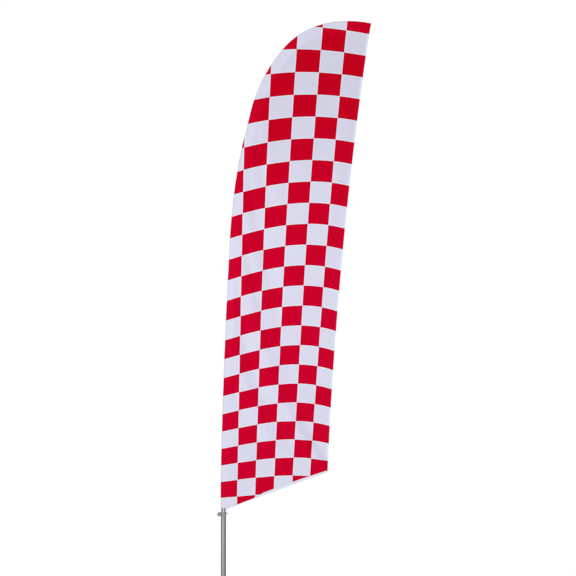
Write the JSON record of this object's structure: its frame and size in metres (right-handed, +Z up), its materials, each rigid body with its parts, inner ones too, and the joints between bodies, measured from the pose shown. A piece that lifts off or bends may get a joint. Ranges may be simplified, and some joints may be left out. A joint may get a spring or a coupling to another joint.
{
  "type": "feather flag with pole",
  "caption": "Tall feather flag of checked cloth on a bent sectional pole with a locking collar, on a folding cross base with a turning spindle.",
  "frame": {"origin": "on the floor, on the pole's axis", "axes": "+Z up along the pole, +X from the pole towards the flag's free edge, -Y is the viewed side"},
  "size_m": [1.271, 0.651, 4.0118],
  "materials": {
    "powder_coated_steel": "black powder coat, satin, fine orange peel",
    "black_rubber": "matt moulded rubber",
    "black_nylon": "moulded nylon, matt",
    "zinc_steel": "zinc plated, satin",
    "turned_steel": "turned steel, fine tool marks",
    "bearing_steel": "ground and polished",
    "turned_aluminium": "turned aluminium, fine tool marks",
    "matt_aluminium": "grey anodised tube, matt, drawn along its length",
    "polished_aluminium": "bright drawn tube, sharp highlights along it",
    "grey_nylon": "mid grey moulded glass-filled nylon, slightly grained",
    "brass_insert": "turned brass",
    "grey_fibreglass": "pultruded fibreglass, satin, faint lengthwise fibres",
    "printed_cloth": "warp-knitted polyester flag cloth with red and off-white checks printed through",
    "white_binding": "white polyester binding, row of lock stitches",
    "white_elastic": "woven white elastic, ribbed"
  },
  "bodies": {
    "base": {"lower_leg_bar": "powder_coated_steel", "lower_leg_feet": "black_rubber", "pivot_washer": "black_nylon", "thrust_washer": "black_nylon", "axle_base_washer": "zinc_steel", "axle_base_nut": "zinc_steel", "spindle_axle": "turned_steel", "lower_bearing_inner_ring": "bearing_steel", "upper_bearing_inner_ring": "bearing_steel", "bearing_spacer": "turned_steel", "axle_top_washer": "zinc_steel", "axle_top_nut": "zinc_steel"},
    "cross_leg": {"upper_leg_bar": "powder_coated_steel", "upper_leg_feet": "black_rubber"},
    "ball_sets": {"lower_bearing_balls": "bearing_steel", "upper_bearing_balls": "bearing_steel"},
    "rotor": {"rotor_adapter": "turned_aluminium", "rotor_o_rings": "black_rubber", "lower_bearing_outer_ring": "bearing_steel", "upper_bearing_outer_ring": "bearing_steel"},
    "lower_pole": {"lower_tube": "matt_aluminium", "lock_collar": "grey_nylon", "boss_insert": "brass_insert"},
    "knob": {"locking_knob": "grey_nylon", "knob_screw": "zinc_steel"},
    "mast": {"upper_tube": "polished_aluminium", "tube_glide": "black_nylon", "reducer_bush": "black_nylon", "mid_tube": "grey_fibreglass", "tip_ferrule": "black_nylon", "tip_rod": "grey_fibreglass", "tip_cap": "black_rubber", "pole_sleeve": "printed_cloth", "tip_pocket": "printed_cloth", "sail_panel": "printed_cloth", "fly_hem": "printed_cloth", "bottom_hem": "white_binding", "tension_strap": "white_elastic"}
  },
  "joints": [
    {"name": "leg_fold", "type": "hinge", "parent": "base", "child": "cross_leg", "pos_m": [0, 0, 0.0245], "axis": [0, 0, 1], "range_deg": [0, 90]},
    {"name": "flag_spin", "type": "hinge", "parent": "base", "child": "rotor", "pos_m": [0, 0, 0.09], "axis": [0, 0, 1], "continuous": true},
    {"name": "ball_orbit", "type": "hinge", "parent": "base", "child": "ball_sets", "pos_m": [0, 0, 0.09], "axis": [0, 0, 1], "continuous": true},
    {"name": "pole_lift", "type": "slide", "parent": "rotor", "child": "lower_pole", "axis": [0, 0, 1], "range_m": [0, 0.2]},
    {"name": "knob_turn", "type": "hinge", "parent": "lower_pole", "child": "knob", "pos_m": [-0.03, 0, 0.857], "axis": [-1, 0, 0], "range_deg": [0, 540]},
    {"name": "pole_telescope", "type": "slide", "parent": "lower_pole", "child": "mast", "axis": [0, 0, 1], "range_m": [-0.015, 0.05], "deforming": ["tension_strap"]}
  ],
  "couplings": [
    {"joint": "ball_orbit", "follows": "flag_spin", "ratio": 0.5}
  ]
}
